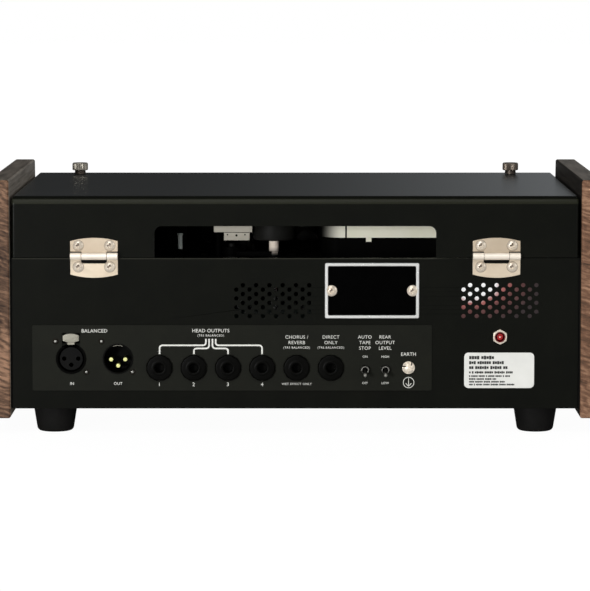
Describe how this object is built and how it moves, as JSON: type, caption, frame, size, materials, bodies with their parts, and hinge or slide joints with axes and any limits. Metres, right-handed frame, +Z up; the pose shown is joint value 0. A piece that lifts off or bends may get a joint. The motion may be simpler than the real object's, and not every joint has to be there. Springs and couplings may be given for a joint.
{
  "type": "tape echo unit",
  "caption": "Wood-sided tape echo with a hinged lid, rear connector panel, leaning front controls, tape deck and rubber feet.",
  "frame": {"origin": "middle of the footprint box, on the surface the feet stand on", "axes": "+X to the right seen from the front, +Y towards the back, +Z up"},
  "size_m": [0.395, 0.2746, 0.1643],
  "materials": {
    "walnut": "oiled walnut",
    "black_enamel": "satin black enamel",
    "legend_black": "screen-printed satin",
    "black_plastic": "moulded",
    "bright_steel": "polished",
    "gold_contact": "gold flash",
    "satin_steel": "satin",
    "label_white": "printed film",
    "red_plastic": "moulded",
    "warm_nickel": "satin nickel",
    "foot_rubber": "matt",
    "knob_black": "moulded",
    "cast_aluminium": "machined",
    "brass_turned": "turned",
    "cream_plastic": "moulded",
    "red_board": "solder mask",
    "green_board": "solder mask"
  },
  "bodies": {
    "chassis": {"audio_board": "green_board", "chassis_tray": "black_enamel", "cheek_left": "walnut", "cheek_right": "walnut", "connector_field": "legend_black", "dc_inlet": "red_plastic", "dc_nut": "bright_steel", "deck_plate": "black_enamel", "drive_belt": "foot_rubber", "earth_terminal": "bright_steel", "front_fascia": "black_enamel", "front_jacks": "black_plastic", "guide_posts": "bright_steel", "head_bridge": "cast_aluminium", "hinge_leaves_lower": "warm_nickel", "hinge_pins": "warm_nickel", "jack_1": "black_plastic", "jack_2": "black_plastic", "jack_3": "black_plastic", "jack_4": "black_plastic", "jack_5": "black_plastic", "jack_6": "black_plastic", "motor": "satin_steel", "nameplate": "bright_steel", "panel_screws": "bright_steel", "pilot_lamp": "red_plastic", "pot_bodies": "satin_steel", "power_board": "red_board", "rating_label": "label_white", "rear_panel": "black_enamel", "rubber_feet": "foot_rubber", "tape_cartridge": "cream_plastic", "tape_heads": "satin_steel", "toggle_bodies": "satin_steel", "vu_meter": "black_plastic", "xlr_in_insert": "black_plastic", "xlr_in_shell": "black_plastic", "xlr_out_pins": "gold_contact", "xlr_out_shell": "black_plastic"},
    "lid": {"lid_cover": "black_enamel", "hinge_leaves_upper": "warm_nickel", "hinge_screws_upper": "warm_nickel"},
    "left_screw": {"thumbscrew_left": "satin_steel"},
    "right_screw": {"thumbscrew_right": "satin_steel"},
    "release_tab": {"xlr_latch": "bright_steel"},
    "stop_lever": {"toggle_lever_1": "satin_steel"},
    "level_lever": {"toggle_lever_2": "satin_steel"},
    "power_switch": {"power_lever": "bright_steel"},
    "selector": {"mode_selector": "knob_black"},
    "meter_needle": {"vu_needle": "red_plastic"},
    "swing_arm": {"pinch_arm": "satin_steel"},
    "roller": {"pinch_roller": "foot_rubber"},
    "flywheel": {"capstan": "satin_steel"},
    "pulley": {"motor_pulley": "brass_turned"},
    "dial_1": {"knob_1": "knob_black"},
    "dial_2": {"knob_2": "knob_black"},
    "dial_3": {"knob_3": "knob_black"},
    "dial_4": {"knob_4": "knob_black"},
    "dial_5": {"knob_5": "knob_black"},
    "dial_6": {"knob_6": "knob_black"}
  },
  "joints": [
    {"name": "lid_hinge", "type": "hinge", "parent": "chassis", "child": "lid", "pos_m": [0, 0.12915, 0.1153], "axis": [-1, 0, 0], "range_deg": [0, 100]},
    {"name": "left_screw_turn", "type": "hinge", "parent": "lid", "child": "left_screw", "pos_m": [-0.1518, -0.0885, 0.1537], "axis": [0, 0, 1], "continuous": true},
    {"name": "right_screw_turn", "type": "hinge", "parent": "lid", "child": "right_screw", "pos_m": [0.1518, -0.0885, 0.1537], "axis": [0, 0, 1], "continuous": true},
    {"name": "release_press", "type": "slide", "parent": "chassis", "child": "release_tab", "axis": [0, -1, 0], "range_m": [0, 0.0015], "stiffness_N_per_m": 400},
    {"name": "stop_toggle", "type": "hinge", "parent": "chassis", "child": "stop_lever", "pos_m": [-0.0449, 0.1275, 0.0419], "axis": [1, 0, 0], "range_deg": [0, 34]},
    {"name": "level_toggle", "type": "hinge", "parent": "chassis", "child": "level_lever", "pos_m": [-0.058, 0.1275, 0.0419], "axis": [1, 0, 0], "range_deg": [0, 34]},
    {"name": "power_toggle", "type": "hinge", "parent": "chassis", "child": "power_switch", "pos_m": [0.15, -0.12039, 0.05793], "axis": [1, 0, 0], "range_deg": [-28, 0]},
    {"name": "dial_1_turn", "type": "hinge", "parent": "chassis", "child": "dial_1", "pos_m": [-0.052, -0.11624, 0.10797], "axis": [0, -0.9848, 0.1736], "range_deg": [-300, 0]},
    {"name": "dial_2_turn", "type": "hinge", "parent": "chassis", "child": "dial_2", "pos_m": [-0.008, -0.11624, 0.10797], "axis": [0, -0.9848, 0.1736], "range_deg": [-300, 0]},
    {"name": "dial_3_turn", "type": "hinge", "parent": "chassis", "child": "dial_3", "pos_m": [0.036, -0.11624, 0.10797], "axis": [0, -0.9848, 0.1736], "range_deg": [-300, 0]},
    {"name": "dial_4_turn", "type": "hinge", "parent": "chassis", "child": "dial_4", "pos_m": [-0.052, -0.12492, 0.05873], "axis": [0, -0.9848, 0.1736], "range_deg": [-300, 0]},
    {"name": "dial_5_turn", "type": "hinge", "parent": "chassis", "child": "dial_5", "pos_m": [-0.008, -0.12492, 0.05873], "axis": [0, -0.9848, 0.1736], "range_deg": [-300, 0]},
    {"name": "dial_6_turn", "type": "hinge", "parent": "chassis", "child": "dial_6", "pos_m": [0.036, -0.12492, 0.05873], "axis": [0, -0.9848, 0.1736], "range_deg": [-300, 0]},
    {"name": "selector_turn", "type": "hinge", "parent": "chassis", "child": "selector", "pos_m": [0.096, -0.11971, 0.08827], "axis": [0, -0.9848, 0.1736], "range_deg": [-330, 0]},
    {"name": "needle_swing", "type": "hinge", "parent": "chassis", "child": "meter_needle", "pos_m": [-0.124, -0.1127, 0.08196], "axis": [0, -0.9848, 0.1736], "range_deg": [-84, 0], "stiffness_Nm_per_rad": 0.0001},
    {"name": "arm_swing", "type": "hinge", "parent": "chassis", "child": "swing_arm", "pos_m": [0.042, 0.0645, 0.108], "axis": [0, 0, 1], "range_deg": [-6, 1], "stiffness_Nm_per_rad": 0.02},
    {"name": "roller_spin", "type": "hinge", "parent": "swing_arm", "child": "roller", "pos_m": [0.0141, 0.0645, 0.12], "axis": [0, 0, 1], "continuous": true},
    {"name": "capstan_spin", "type": "hinge", "parent": "chassis", "child": "flywheel", "pos_m": [0.0141, 0.0477, 0.07], "axis": [0, 0, 1], "continuous": true},
    {"name": "pulley_spin", "type": "hinge", "parent": "chassis", "child": "pulley", "pos_m": [0.096, 0.0065, 0.07], "axis": [0, 0, 1], "continuous": true}
  ],
  "couplings": [
    {"joint": "pulley_spin", "follows": "capstan_spin", "ratio": 5}
  ]
}
